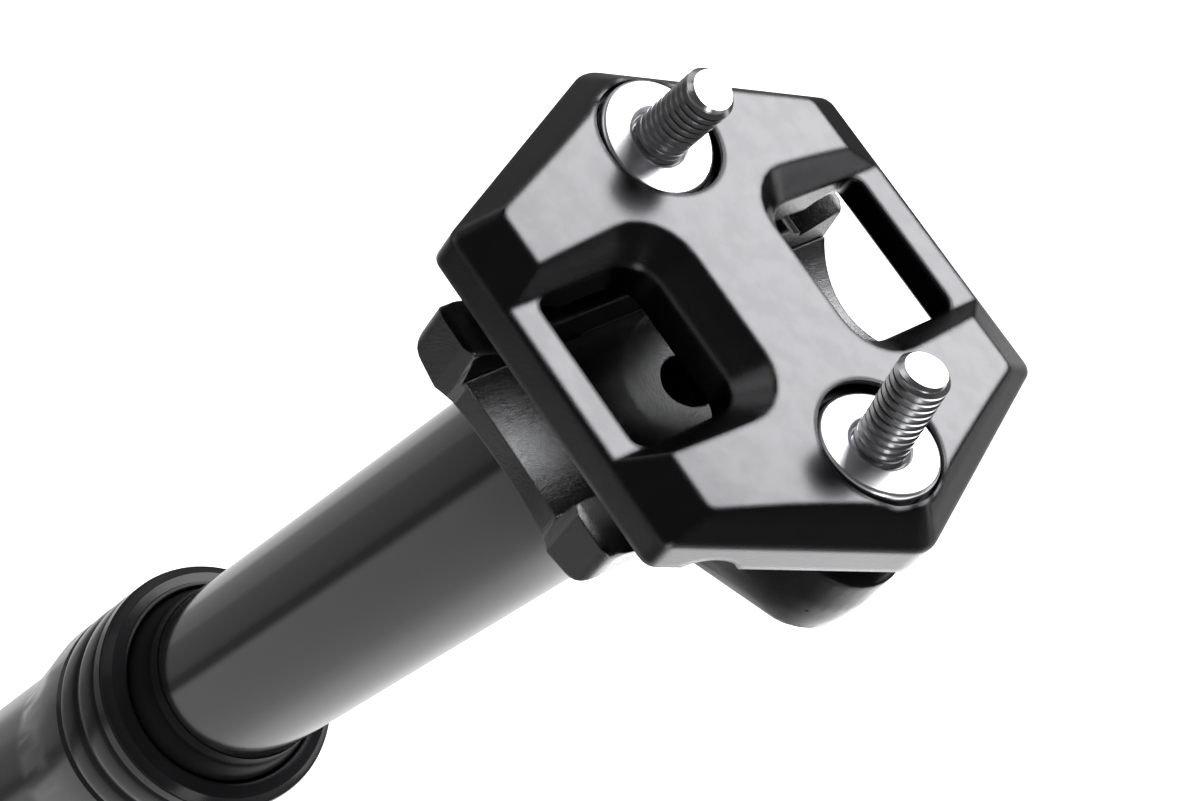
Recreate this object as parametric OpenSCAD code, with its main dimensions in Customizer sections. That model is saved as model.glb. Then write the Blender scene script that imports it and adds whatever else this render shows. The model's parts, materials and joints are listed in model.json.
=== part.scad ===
// Telescopic seatpost with a two-bolt saddle clamp, drawn fully extended.
// The post's axis is Z and the height 0 is the top of the length that the bicycle frame holds.
// X points forward, along the saddle's rails, and Y points to the left.

/* [Outer tube] */
// Outside diameter of the length that the frame clamps
tube_d = 31.6; // [30.9:0.1:34.9]
// Wall of the outer tube
tube_wall = 2.3; // [2.1:0.1:2.6]
// Height of the cone that widens the tube below the collar
flare_h = 15; // [8:1:20]
// Height of the plain belt above the cone
belt_h = 6; // [4:0.5:10]
// How far the collar's outside stands out from the tube
collar_step = 2; // [1.6:0.1:2.6]
// Length of the neck that the collar screws onto
neck_h = 9; // [7:0.5:12]
// Wall of that neck
neck_wall = 1.7; // [1.4:0.1:1.9]
// Length of tube below the lowered stanchion
tail_h = 22; // [20:1:40]

/* [Collar and seal] */
// Height of the collar from the belt to its rim
collar_h = 15.6; // [14.5:0.1:20]
// Height of the plain band under the rim
rim_h = 2.8; // [1.8:0.1:4]
// Number of grip ribs on the collar
rib_count = 2; // [1:1:4]
// Depth of the grooves between the ribs
rib_depth = 0.5; // [0.2:0.1:0.8]
// Rise of the collar's front face from the rim to its inner lip
face_rise = 1.3; // [0.8:0.1:2]
// Width of the collar's inner lip
lip_w = 0.8; // [0.5:0.1:1.2]
// How far the wiper stands above the collar's inner lip
wiper_rise = 6.1; // [3:0.1:8]
// Thickness of the washer under the wiper
washer_h = 2; // [1:0.1:3]

/* [Stanchion] */
// How far the saddle can be lowered
travel = 100; // [75:5:125]
// Distance from the outside of the tube in to the outside of the stanchion
post_in = 3.3; // [3.2:0.1:3.5]
// Wall of the stanchion
post_wall = 2; // [1.6:0.1:2.2]
// Length of stanchion that stays below the tube's top at full height
overlap = 63; // [60:1:80]
// Length of the upper bushing
upper_bushing_h = 25; // [15:1:28]
// Length of the lower bushing
lower_bushing_h = 12; // [8:1:14]
// Width of each guide key
key_w = 3; // [2:0.1:4]
// Length of each guide key
key_h = 12; // [6:1:14]
// Number of guide keys
key_count = 3; // [2:1:4]

/* [Clamp] */
// Lean of the clamp forward from the post's axis
clamp_lean = 11; // [0:0.5:12]
// Depth from the plate's top to the point where the post's axis crosses the clamp's middle
clamp_depth = 14.5; // [13:0.1:15]
// Diameter of the saddle's rails
rail_d = 7; // [6.8:0.1:7.2]
// Distance between the rails' centres
rail_span = 44; // [43:0.5:45]
// Depth of the rails' centres below the plate's top
rail_depth = 9.6; // [9.4:0.1:10.2]

/* [Top plate] */
// Half length of the plate from its middle to each pointed end
plate_reach = 32.1; // [31.5:0.1:34]
// Metal outside each rail
plate_lip = 3.2; // [2.6:0.1:3.6]
// How much each pointed end narrows for every millimetre of width
plate_taper = 0.446; // [0.35:0.01:0.5]
// Depth of the plate's edge below its top
plate_h = 7.8; // [7.4:0.1:8]
// Depth of the bevel's lower edge
bevel_h = 3.8; // [3:0.1:4.5]
// Rise of the crowned top over half its width
crown = 1.5; // [0.5:0.1:2]
// Half length of each side pocket at the top
pocket_reach = 12.8; // [12:0.1:14]
// Distance from the middle to each pocket's top edge
pocket_in = 5.9; // [4.5:0.1:7]
// Depth of the pocket's sloping walls
pocket_h = 3.4; // [2.5:0.1:3.7]
// Width of the strip outside each window
strip_w = 4.1; // [3:0.1:5]

/* [Lower cradle] */
// Half length of the cradle
cradle_reach = 16; // [14:0.1:16.2]
// Length of the bar at each end of the cradle
bar_w = 6.8; // [5:0.1:8]
// Depth of the bars' tops below the rails' centres
bar_drop = 2.2; // [1.8:0.1:2.6]
// Thickness of the cradle's curved floor between the bars
floor_h = 3.1; // [2.6:0.1:3.6]
// Depth of the bars' underside below the plate's top
bar_low = 18.2; // [17.5:0.1:18.8]
// How far the bars' ends stand out beyond the plate
horn_out = 0.2; // [0:0.1:1]
// How far the floor's edge lies inside the plate's edge, at its narrowest
waist_in = 2.9; // [1:0.1:4]
// Radius of the round seat under the cradle
seat_r = 20.5; // [20:0.1:21]
// Depth of that seat's centre below the plate's top
seat_depth = 2; // [1.5:0.1:2.5]
// How far the floor's underside outside the seat lies inside the seat's radius
wing_step = 0.9; // [0.6:0.1:1.2]
// Half width of the round seat
seat_w = 11; // [10:0.1:12]
// Diameter of the hole in the cradle's middle
centre_hole_d = 6.6; // [4:0.1:7]
// Radius of the shallow round recess about that hole
recess_r = 8.2; // [6:0.1:8.8]
// Depth of that recess
recess_h = 0.5; // [0.3:0.1:0.8]

/* [Clamp bolts] */
// Thread diameter of the two bolts
bolt_d = 6; // [5:0.5:6]
// Half the distance between the nuts
bolt_x = 20.2; // [20:0.1:20.6]
// Inward lean of each bolt
bolt_lean = 9.1; // [8.5:0.1:9.5]
// Length of thread above each nut
bolt_out = 10.5; // [4:0.5:14]
// How much further the rear bolt stands out
rear_out = 1; // [0:0.5:2]
// Pitch of the thread
pitch = 1; // [0.8:0.05:1.25]
// Diameter of the bolt's head
bolt_head_d = 9.2; // [8.8:0.1:10]
// Height of the bolt's head
bolt_head_h = 6; // [5:0.1:6]
// Diameter of each round nut
nut_d = 13.9; // [13:0.1:14]
// Height of each round nut
nut_h = 5.2; // [4.5:0.1:5.4]
// Gap round each nut at the plate's top
nut_gap = 0.5; // [0.4:0.05:0.7]

/* [Head] */
// Depth of the bolts' pivots in the head below the plate's top
ear_depth = 22; // [21.6:0.1:22.4]
// Radius of the round ear at each end of the head
ear_r = 7.6; // [7.3:0.1:8]
// Depth of the ears' rims below the plate's top
rim_depth = 11.8; // [11.6:0.1:12.6]
// Depth of the ears' floors below the plate's top
ear_floor = 13.8; // [13:0.1:14.2]
// Radius of the half-round seat that each washer turns in
cup_r = 6; // [5.9:0.05:6.1]
// Least thickness of the head between the stanchion's top and the round seat
foot_h = 1.5; // [1.2:0.1:4]
// Length of the spigot that the head has in the stanchion
spigot_h = 22.5; // [15:0.5:26]
// Radius of the webs that run down the stanchion under the ears
web_r = 13.4; // [13.2:0.1:14]
// Half width of those webs
web_w = 6.5; // [5:0.5:7.5]
// Length of those webs below the stanchion's top
web_h = 6; // [3:0.5:8]
// Length of stanchion that stays above the wiper when the saddle is lowest
stand_off = 6.5; // [6.5:0.5:12]

/* [Cartridge] */
// Room between the stanchion's bore and the cartridge
cart_gap = 1; // [0.8:0.1:1.5]
// Wall of the cartridge
cart_wall = 1.5; // [1.2:0.1:2]
// Diameter of the rod as a share of the cartridge's bore
rod_share = 0.5; // [0.45:0.01:0.55]
// Bore of the rod
rod_bore = 3.2; // [2.8:0.1:3.4]
// Length of the piston
piston_h = 10; // [8:0.5:12]
// Length of the floating piston
float_h = 10; // [8:0.5:12]
// Height of the floating piston's underside at full height
float_z = 66; // [64:1:74]
// Length of the gland inside the cartridge
gland_h = 12; // [8:0.5:13]

/* [Release] */
// Diameter of the valve pin
pin_d = 2.4; // [2:0.1:2.4]
// Distance from the valve pin to the lever's pivot
lever_arm = 4; // [3.8:0.1:4.4]
// Distance from the outside of the tube in to the cable stop's axis
cable_in = 4.8; // [4.7:0.1:5.2]
// Width of the lever
lever_w = 8; // [6:0.5:9]
// Thickness of each cheek beside the lever
cheek_w = 3.7; // [2.5:0.1:4]
// Diameter of the lever's pivot pin
pivot_d = 3; // [2.5:0.1:3.2]
// Diameter of the hole that takes the cable's housing
housing_d = 5.2; // [5:0.1:5.6]
// Turns of the return spring
spring_turns = 6; // [4:1:8]
// Diameter of the return spring's wire
wire_d = 0.7; // [0.5:0.05:0.9]

/* [Fits] */
// Radial clearance of a sliding fit
run_gap = 0.05; // [0.03:0.01:0.08]
// Radial clearance of a bonded or screwed fit
glue_gap = 0.03; // [0.02:0.01:0.04]
// Clearance between pieces that move and don't bear on each other
free_gap = 0.3; // [0.25:0.05:0.4]

/* [Hidden] */
$fn = 96;

tube_r = tube_d / 2;
bore_r = tube_r - tube_wall;
collar_r = tube_r + collar_step;
belt_top = flare_h + belt_h;
neck_top = belt_top + neck_h;
neck_r = collar_r - collar_step + 0.1;
bush_r = neck_r - neck_wall;
bush_z = neck_top - washer_h - upper_bushing_h;
rim_z = belt_top + collar_h;
lip_z = rim_z + face_rise;
lip_r = bush_r + 0.1;
wiper_top = lip_z + wiper_rise;

post_r = tube_r - post_in;
post_bore = post_r - post_wall;
foot_z = wiper_top + travel + stand_off;
tube_len = overlap + travel + tail_h;
plug_h = 13;
lower_bush_z = -overlap + 5;
lower_groove_r = post_r - 0.5;
key_z = lower_bush_z + lower_bushing_h + 3;
key_in = post_r - 0.9;
key_out = bore_r + 0.85;

clamp_z = foot_z + foot_h + seat_r + seat_depth - clamp_depth;
rail_y = rail_span / 2;
rail_r = rail_d / 2;
plate_y = rail_y + rail_r + plate_lip;
slope_len = sqrt(1 + plate_taper * plate_taper);
crown_r = (plate_y * plate_y + crown * crown) / (2 * crown);
side_bevel = 7.1;
end_bevel = 3.6;
window_in = pocket_in + pocket_h;
window_out = plate_y - strip_w;
window_x = pocket_reach - pocket_h;
bar_depth = rail_depth + bar_drop;
nut_depth = 0.2;
nut_r = nut_d / 2;
seat_cup = nut_r + free_gap;
ear_x = bolt_x + (ear_depth - nut_depth) * tan(bolt_lean);
bolt_reach = (ear_depth - nut_depth) / cos(bolt_lean);
washer_low = bolt_head_h / 2;
shank_r = bolt_d / 2;

cart_r = post_bore - cart_gap;
cart_in = cart_r - cart_wall;
rod_r = cart_in * rod_share;
clip_h = 1.2;
clip_z = -overlap + 1.6;
flange_h = 4;
cart_z = clip_z + clip_h + 0.1 + flange_h;
gland_top = cart_z + gland_h;
bumper_h = 3.7;
piston_z = gland_top + free_gap + bumper_h;
nut_t = 3.5;
rod_top = piston_z + piston_h + nut_t + 1;
cap_h = 10;
spigot_z = foot_z - spigot_h;
spigot_floor = 6;
spigot_bore = (post_bore - 0.5) / 2;
fill_r = spigot_bore / 2;
cart_top = spigot_z - flange_h;
plug_top = -tube_len + plug_h;
rod_low = plug_top - 8;
rod_nut_h = 3.6;
base_h = 5;
base_low = -tube_len - base_h;
spring_low = base_low - 0.1;
pin_low = base_low - 3;
nose_r = 1.2;
nose_rise = 0.8;
pivot_z = pin_low - free_gap - nose_r - nose_rise;
cheek_low = base_low - 22;
cable_x = tube_r - cable_in;
cheek_in = lever_w / 2 + free_gap;
cheek_out = cheek_in + cheek_w;
cheek_back = lever_arm + pivot_d;
bridge_h = 5;

// Places its children in the clamp's own frame: height 0 is the plate's top, X runs along the rails.
module clamp_frame() {
    translate([0, 0, clamp_z]) rotate([0, clamp_lean, 0]) translate([0, 0, clamp_depth]) children();
}

// Places its children on a bolt's axis, at the pivot in the head's ear. side is 1 in front and -1 behind.
module bolt_frame(side) {
    clamp_frame() translate([side * ear_x, 0, -ear_depth]) rotate([0, -side * bolt_lean, 0]) children();
}

// A plain ring.
module ring(inner, outer, low, high) {
    rotate_extrude() translate([inner, low]) square([outer - inner, high - low]);
}

// A hexagon prism given across its flats.
module hexagon(flats, low, high) {
    translate([0, 0, low]) cylinder(r = flats / sqrt(3), h = high - low, $fn = 6);
}

// The points of a corner at p rounded to radius r, between the corners before and after it.
function unit(v) = v / norm(v);
function round_corner(a, p, b, r, n = 6) =
    let (u = unit(a - p), v = unit(b - p), half = acos(u * v) / 2,
        c = p + unit(u + v) * r / sin(half), sweep = 180 - 2 * half,
        s = p + u * r / tan(half) - c, turn = (u[0] * v[1] - u[1] * v[0]) > 0 ? -1 : 1)
    [for (i = [0 : n]) let (t = turn * sweep * i / n)
        c + [s[0] * cos(t) - s[1] * sin(t), s[0] * sin(t) + s[1] * cos(t)]];

// A closed outline with every corner rounded to its own radius.
function rounded(pts, radii) = let (n = len(pts))
    [for (i = [0 : n - 1]) each round_corner(pts[(i + n - 1) % n], pts[i], pts[(i + 1) % n], radii[i])];

module outer_tube() {
    color([0.13, 0.13, 0.14]) difference() {
        rotate_extrude() polygon([
            [bore_r + 0.8, -tube_len], [tube_r - 0.4, -tube_len], [tube_r, -tube_len + 0.4], [tube_r, 0],
            [collar_r - 0.1, flare_h], [collar_r - 0.1, belt_top - 0.5], [collar_r - 0.6, belt_top],
            [neck_r, belt_top], [neck_r, neck_top], [bush_r, neck_top], [bush_r, bush_z], [bore_r, bush_z],
            [bore_r, plug_top], [bore_r + 0.8, plug_top]]);
        for (i = [0 : key_count - 1]) rotate(360 / key_count * i)
            translate([bore_r - 1, -key_w / 2 - 0.1, plug_top])
                cube([key_out + 0.1 - bore_r + 1, key_w + 0.2, key_z + key_h + 4 - plug_top]);
    }
}

// The convex ribs of the collar between two heights, as outline points.
function ribs(low, high) = let (h = (high - low) / rib_count)
    [for (k = [0 : rib_count - 1], i = [0 : 8]) let (t = i / 4 - 1)
        [collar_r - rib_depth * pow(abs(t), 3), low + h * (k + i / 8)]];

module collar() {
    ribs_low = belt_top + 0.01;
    ribs_high = rim_z - rim_h;
    color([0.15, 0.15, 0.16]) rotate_extrude() polygon(concat(
        [[neck_r + glue_gap, belt_top]],
        [for (p = ribs(ribs_low, ribs_high)) p],
        [[collar_r - 0.35, ribs_high + 0.05], [collar_r, ribs_high + 0.4], [collar_r, rim_z - 0.5],
            [collar_r - 0.15, rim_z - 0.15], [collar_r - 0.5, rim_z + 0.05],
            [(collar_r + lip_r + lip_w) / 2, rim_z + face_rise * 0.7],
            [lip_r + lip_w, lip_z - 0.1], [lip_r + lip_w - 0.2, lip_z], [lip_r + 0.2, lip_z],
            [lip_r, lip_z - 0.3], [lip_r, neck_top], [neck_r + glue_gap, neck_top]]));
}

module wiper_seal() {
    inner = post_r + run_gap;
    body_r = lip_r - glue_gap;
    color([0.05, 0.05, 0.05]) rotate_extrude() polygon([
        [inner + 0.35, neck_top], [body_r, neck_top], [body_r, lip_z - 1.3], [body_r - 0.35, lip_z - 0.7],
        [body_r - 0.35, lip_z + 0.4], [inner + 0.75, lip_z + wiper_rise * 0.33],
        [inner + 0.45, lip_z + wiper_rise * 0.4], [inner + 0.3, lip_z + wiper_rise * 0.55],
        [inner + 0.42, lip_z + wiper_rise * 0.75], [inner + 0.12, wiper_top], [inner, wiper_top],
        [inner, wiper_top - 1], [inner + 0.35, wiper_top - 3.5]]);
}

module upper_bushing() {
    color([0.75, 0.72, 0.62]) ring(post_r + run_gap, bush_r - glue_gap, bush_z, bush_z + upper_bushing_h);
}

module seal_washer() {
    color([0.7, 0.7, 0.7]) ring(post_r + free_gap, bush_r - glue_gap, neck_top - washer_h, neck_top);
}

module base_cap() {
    color([0.16, 0.16, 0.17]) difference() {
        union() {
            ring(rod_r + glue_gap, bore_r + 0.8 - glue_gap, -tube_len, plug_top);
            translate([0, 0, base_low]) cylinder(r = tube_r - 0.2, h = base_h);
            intersection() {
                for (s = [-1, 1]) translate([-cheek_back, s > 0 ? cheek_in : -cheek_out, cheek_low])
                    cube([cheek_back + tube_r, cheek_w, base_low - cheek_low + 1]);
                translate([0, 0, cheek_low]) cylinder(r = tube_r - 0.3, h = tube_len);
            }
            intersection() {
                translate([cable_x - 4.4, -cheek_out, cheek_low]) cube([tube_r, 2 * cheek_out, bridge_h]);
                translate([0, 0, cheek_low]) cylinder(r = tube_r - 0.3, h = tube_len);
            }
        }
        translate([0, 0, base_low - 1]) cylinder(r = rod_r + 0.4, h = rod_low - base_low + 1);
        translate([0, 0, base_low - 1]) cylinder(r = rod_r + glue_gap, h = tube_len);
        translate([lever_arm, 0, pivot_z]) rotate([90, 0, 0])
            cylinder(r = pivot_d / 2 + glue_gap, h = 60, center = true);
        translate([cable_x, 0, cheek_low - 1]) cylinder(r = housing_d / 2 + 0.6 + glue_gap, h = bridge_h + 2);
    }
}

module cable_stop() {
    stop_r = housing_d / 2 + 0.6;
    color([0.6, 0.6, 0.62]) translate([cable_x, 0, cheek_low]) rotate_extrude() polygon([
        [0.9, -2.5], [0.9, bridge_h], [stop_r - 0.3, bridge_h], [stop_r, bridge_h - 0.3], [stop_r, 0],
        [4.5, 0], [4.5, -7], [4, -8], [housing_d / 2 + 0.3, -8], [housing_d / 2, -7.7], [housing_d / 2, -2.5]]);
}

module lever_pin() {
    color([0.8, 0.8, 0.82]) translate([lever_arm, 0, pivot_z]) rotate([90, 0, 0]) difference() {
        cylinder(r = pivot_d / 2, h = 2 * cheek_out + 3, center = true);
        for (s = [-1, 1]) translate([0, 0, s * (cheek_out + 0.4)])
            difference() {
                cylinder(r = pivot_d, h = 0.7, center = true);
                cylinder(r = pivot_d / 2 - 0.3, h = 2, center = true);
            }
    }
}

module lever_clips() {
    color([0.3, 0.3, 0.32]) for (s = [-1, 1])
        translate([lever_arm, s * (cheek_out + 0.4), pivot_z]) rotate([90, 0, 0]) difference() {
            cylinder(r = pivot_d / 2 + 1.4, h = 0.6, center = true);
            cylinder(r = pivot_d / 2 - 0.25, h = 2, center = true);
            translate([0, -5, 0]) cube([pivot_d - 0.6, 10, 2], center = true);
        }
}

module rod() {
    color([0.85, 0.85, 0.87]) ring(rod_bore / 2, rod_r, rod_low, rod_top);
}

module rod_nut() {
    color([0.7, 0.7, 0.72]) difference() {
        hexagon(2 * rod_r + 5, plug_top, plug_top + rod_nut_h);
        translate([0, 0, plug_top - 1]) cylinder(r = rod_r + glue_gap, h = rod_nut_h + 2);
    }
}

module piston() {
    color([0.72, 0.72, 0.7]) difference() {
        ring(rod_r + glue_gap, cart_in - run_gap, piston_z, piston_z + piston_h);
        ring(cart_in - 1.1, cart_in + 1, piston_z + 3, piston_z + piston_h - 3);
        for (i = [0 : 5]) rotate(60 * i) translate([rod_r + 1.4, 0, piston_z - 1])
            cylinder(r = 0.7, h = piston_h + 2);
    }
}

module piston_ring() {
    color([0.2, 0.25, 0.22]) difference() {
        ring(cart_in - 1.07, cart_in - run_gap, piston_z + 3.05, piston_z + piston_h - 3.05);
        translate([cart_in - 2, -0.2, piston_z]) cube([4, 0.4, piston_h]);
    }
}

module piston_nut() {
    color([0.7, 0.7, 0.72]) difference() {
        hexagon(3 * rod_r, piston_z + piston_h, piston_z + piston_h + nut_t);
        translate([0, 0, piston_z]) cylinder(r = rod_r + glue_gap, h = piston_h + nut_t + 1);
    }
}

module topout_bumper() {
    color([0.1, 0.1, 0.1]) ring(rod_r + glue_gap, rod_r + 2.5, piston_z - bumper_h, piston_z);
}

module bottomout_bumper() {
    color([0.1, 0.1, 0.1]) ring(rod_r + 0.1, bore_r - 0.4, plug_top + rod_nut_h, -overlap - travel - 0.5);
}

// A coil's centre line, with its first and last turns closed up.
function coil_point(t, low, high, r) =
    let (closed = wire_d + 0.5, free = spring_turns - 2,
        rise = high - low - wire_d - 2 * closed,
        z = t < 1 ? closed * t : t > spring_turns - 1
            ? closed + rise + closed * (t - spring_turns + 1) : closed + rise * (t - 1) / free)
    [r * cos(360 * t), r * sin(360 * t), low + wire_d / 2 + z];

module return_spring() {
    steps = 12 * spring_turns;
    sides = 6;
    coil_r = rod_r - wire_d / 2 - 0.6;
    centres = [for (i = [0 : steps]) coil_point(i / 12, spring_low, rod_low, coil_r)];
    rings = [for (i = [0 : steps]) let (a = 30 * i) for (k = [0 : sides - 1]) let (b = 360 / sides * k)
        centres[i] + wire_d / 2 * [cos(b) * cos(a), cos(b) * sin(a), sin(b)]];
    walls = [for (i = [0 : steps - 1], k = [0 : sides - 1]) let (n = (k + 1) % sides, p = i * sides)
        each [[p + k, p + sides + k, p + n], [p + n, p + sides + k, p + sides + n]]];
    ends = [[for (k = [0 : sides - 1]) k], [for (k = [sides - 1 : -1 : 0]) steps * sides + k]];
    echo(least_gap_between_turns = min([for (i = [0 : steps - 12]) norm(centres[i + 12] - centres[i])]) - wire_d);
    color([0.75, 0.75, 0.78]) polyhedron(points = rings, faces = concat(walls, ends));
}

module valve_pin() {
    color([0.8, 0.8, 0.82]) union() {
        translate([0, 0, pin_low]) cylinder(d = pin_d, h = rod_top + free_gap + 2 - pin_low);
        translate([0, 0, rod_top + free_gap]) cylinder(r = rod_r - 0.8, h = 2);
        translate([0, 0, spring_low - 1.1]) cylinder(r = rod_r - 0.7, h = 1);
    }
}

module release_lever() {
    color([0.55, 0.55, 0.57]) difference() {
        rotate([90, 0, 0]) translate([0, 0, -lever_w / 2]) linear_extrude(lever_w) polygon(rounded(
            [[-nose_r, pivot_z + nose_rise + nose_r], [lever_arm - 2, pivot_z + nose_rise + nose_r],
                [lever_arm + 1.5, pivot_z + pivot_d / 2 + 1.2], [cable_x + 3.6, pivot_z + pivot_d / 2 + 1.2],
                [cable_x + 3.6, pivot_z - 4.2], [lever_arm, pivot_z - 4.2],
                [-nose_r, pivot_z + nose_rise - nose_r]],
            [1.15, 2, 1.2, 2.5, 3, 3, 1.15]));
        translate([lever_arm, 0, pivot_z]) rotate([90, 0, 0])
            cylinder(r = pivot_d / 2 + run_gap, h = 60, center = true);
        translate([cable_x, 0, pivot_z]) rotate([90, 0, 0]) cylinder(r = 2.3, h = 60, center = true);
        translate([cable_x + 3, 0, pivot_z]) cube([6, 1.8, 14], center = true);
    }
}

module stanchion() {
    color([0.1, 0.1, 0.11]) difference() {
        rotate_extrude() polygon([
            [post_bore, -overlap], [post_r - 0.4, -overlap], [post_r, -overlap + 0.4],
            [post_r, lower_bush_z], [lower_groove_r, lower_bush_z],
            [lower_groove_r, lower_bush_z + lower_bushing_h], [post_r, lower_bush_z + lower_bushing_h],
            [post_r, foot_z], [post_bore, foot_z], [post_bore, clip_z + clip_h],
            [post_bore + 0.7, clip_z + clip_h], [post_bore + 0.7, clip_z - 0.05], [post_bore, clip_z - 0.05]]);
        for (i = [0 : key_count - 1]) rotate(360 / key_count * i)
            translate([key_in, -key_w / 2, key_z]) cube([5, key_w, key_h]);
    }
}

module lower_bushing() {
    color([0.75, 0.72, 0.62]) difference() {
        ring(lower_groove_r + glue_gap, bore_r - run_gap, lower_bush_z + 0.02,
            lower_bush_z + lower_bushing_h - 0.02);
        translate([0, 0, lower_bush_z - 1]) rotate(30) translate([5, -0.5, 0]) cube([20, 1, lower_bushing_h + 2]);
    }
}

module guide_keys() {
    color([0.8, 0.65, 0.3]) for (i = [0 : key_count - 1]) rotate(360 / key_count * i)
        translate([key_in, -key_w / 2, key_z]) intersection() {
            cube([key_out - key_in, key_w, key_h]);
            translate([-1, key_w / 2, key_h / 2]) rotate([0, 90, 0]) linear_extrude(20)
                polygon(rounded([[-key_h / 2, -key_w / 2], [key_h / 2, -key_w / 2],
                    [key_h / 2, key_w / 2], [-key_h / 2, key_w / 2]], [0.6, 0.6, 0.6, 0.6]));
        }
}

module cartridge_tube() {
    color([0.7, 0.7, 0.72]) ring(cart_in, cart_r, cart_z, cart_top);
}

module cartridge_cap() {
    color([0.72, 0.72, 0.74]) difference() {
        union() {
            ring(fill_r, cart_in - glue_gap, cart_top - cap_h, cart_top);
            ring(fill_r, cart_r, cart_top, spigot_z);
        }
        ring(cart_in - 1.3, cart_in + 0.5, cart_top - 6, cart_top - 4.2);
    }
}

module gas_valve() {
    color([0.8, 0.7, 0.4]) union() {
        ring(0, fill_r - glue_gap, cart_top - cap_h + 2, spigot_z);
        ring(0, spigot_bore - 1.1, spigot_z, spigot_z + 9);
        ring(0, fill_r - 0.1, spigot_z + 9, spigot_z + 12);
    }
}

module gland() {
    color([0.72, 0.72, 0.7]) difference() {
        union() {
            ring(rod_r + run_gap, cart_in - glue_gap, cart_z, gland_top);
            ring(rod_r + run_gap, post_bore - glue_gap, cart_z - flange_h, cart_z);
        }
        ring(cart_in - 1.2, cart_in + 1, cart_z + 4, cart_z + 6.1);
        ring(rod_r - 1, rod_r + 1.6, cart_z - 0.5, cart_z + 2);
    }
}

module gland_ring() {
    color([0.08, 0.08, 0.08]) ring(cart_in - 1.17, cart_in - glue_gap, cart_z + 4.05, cart_z + 6.05);
}

module rod_seal() {
    color([0.1, 0.2, 0.12]) ring(rod_r + run_gap, rod_r + 1.57, cart_z - 0.45, cart_z + 1.95);
}

module stanchion_circlip() {
    color([0.35, 0.35, 0.38]) difference() {
        ring(post_bore - 1.8, post_bore + 0.65, clip_z, clip_z + clip_h - 0.05);
        translate([0, -2, clip_z - 1]) cube([20, 4, 4]);
    }
}

module floating_piston() {
    color([0.72, 0.72, 0.7]) difference() {
        cylinder_at(cart_in - run_gap, float_z, float_z + float_h);
        ring(cart_in - 1.4, cart_in + 1, float_z + 4, float_z + 6);
        cylinder_at(cart_in - 3, float_z + float_h - 3, float_z + float_h + 1);
    }
}

// A plain cylinder between two heights.
module cylinder_at(r, low, high) {
    translate([0, 0, low]) cylinder(r = r, h = high - low);
}

module floating_ring() {
    color([0.08, 0.08, 0.08]) ring(cart_in - 1.37, cart_in - run_gap, float_z + 4.05, float_z + 5.95);
}

// The outline of the top plate's pointed shape, drawn in by a side inset and an end inset.
module plate_outline(side_in, end_in, tip_round, corner_round) {
    y = plate_y - side_in;
    tip = plate_reach - end_in * slope_len;
    x = tip - plate_taper * y;
    polygon(rounded([[tip, 0], [x, y], [-x, y], [-tip, 0], [-x, -y], [x, -y]],
        [tip_round, corner_round, corner_round, tip_round, corner_round, corner_round]));
}

// One side pocket of the top plate, with sloping walls and a window through its floor.
module plate_pocket() {
    n = 6;
    top = [[-pocket_reach, plate_y + 4], [-pocket_reach, pocket_in], [pocket_reach, pocket_in],
        [pocket_reach, plate_y + 4]];
    low = [[-window_x, plate_y + 4], [-window_x, window_in], [window_x, window_in], [window_x, plate_y + 4]];
    corner = 6.5;
    hull() {
        translate([0, 0, 0.4]) linear_extrude(2)
            polygon(rounded([for (i = [0 : 3]) top[i] + (top[i] - low[i]) * 0.4 / pocket_h],
                [0.1, corner + 0.4, corner + 0.4, 0.1]));
        translate([0, 0, -pocket_h]) linear_extrude(0.01)
            polygon(rounded(low, [0.1, corner - 3, corner - 3, 0.1]));
    }
    translate([0, 0, -20]) linear_extrude(20)
        polygon(rounded([[-window_x, window_out], [-window_x, window_in], [window_x, window_in],
            [window_x, window_out]], [1.6, corner - 3, corner - 3, 1.6]));
}

module top_plate() {
    color([0.62, 0.62, 0.64]) clamp_frame() difference() {
        intersection() {
            hull() {
                translate([0, 0, -plate_h]) linear_extrude(plate_h - bevel_h)
                    plate_outline(0, 0, 4.5, 1.8);
                translate([0, 0, -0.01]) linear_extrude(0.01)
                    plate_outline(side_bevel, end_bevel, 1.6, 1.2);
            }
            translate([0, 0, -crown_r]) rotate([0, 90, 0]) cylinder(r = crown_r, h = 200, center = true, $fn = 360);
        }
        for (s = [-1, 1]) {
            translate([0, s * rail_y, -rail_depth]) rotate([0, 90, 0]) cylinder(r = rail_r, h = 200, center = true);
            translate([s * bolt_x, 0, -nut_depth]) sphere(r = seat_cup);
            translate([s * bolt_x, 0, -2.2]) cylinder(r = nut_r + nut_gap, h = 10);
            for (d = [-0.7, 0.7]) translate([s * (bolt_x + 1.2) + d, 0, -20])
                cylinder(r = shank_r + 1.1, h = 18);
            mirror([0, s > 0 ? 0 : 1, 0]) plate_pocket();
        }
    }
}

// Points of an arc about the seat's axis, seen from the side, from one X to another.
function seat_arc(r, x0, x1, n = 16) =
    let (a0 = asin(x0 / r), a1 = asin(x1 / r))
    [for (i = [0 : n]) let (a = a0 + (a1 - a0) * i / n) [r * sin(a), -seat_depth - r * cos(a)]];

// The side view of the cradle: a curved floor with a bar at each end.
module cradle_profile() {
    wing_r = seat_r - wing_step;
    floor_r = wing_r - floor_h;
    x0 = cradle_reach - bar_w;
    root = x0 - 0.8;
    polygon(concat(seat_arc(wing_r, -x0, x0), seat_arc(floor_r, x0 - 0.6, -x0 + 0.6)));
    for (s = [-1, 1]) scale([s, 1]) polygon(rounded([
        [cradle_reach, -bar_low], [cradle_reach, -bar_depth], [x0, -bar_depth],
        [root, -seat_depth - sqrt(wing_r * wing_r - root * root)]],
        [3.2, 1, 0.6, 0.1]));
}

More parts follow.
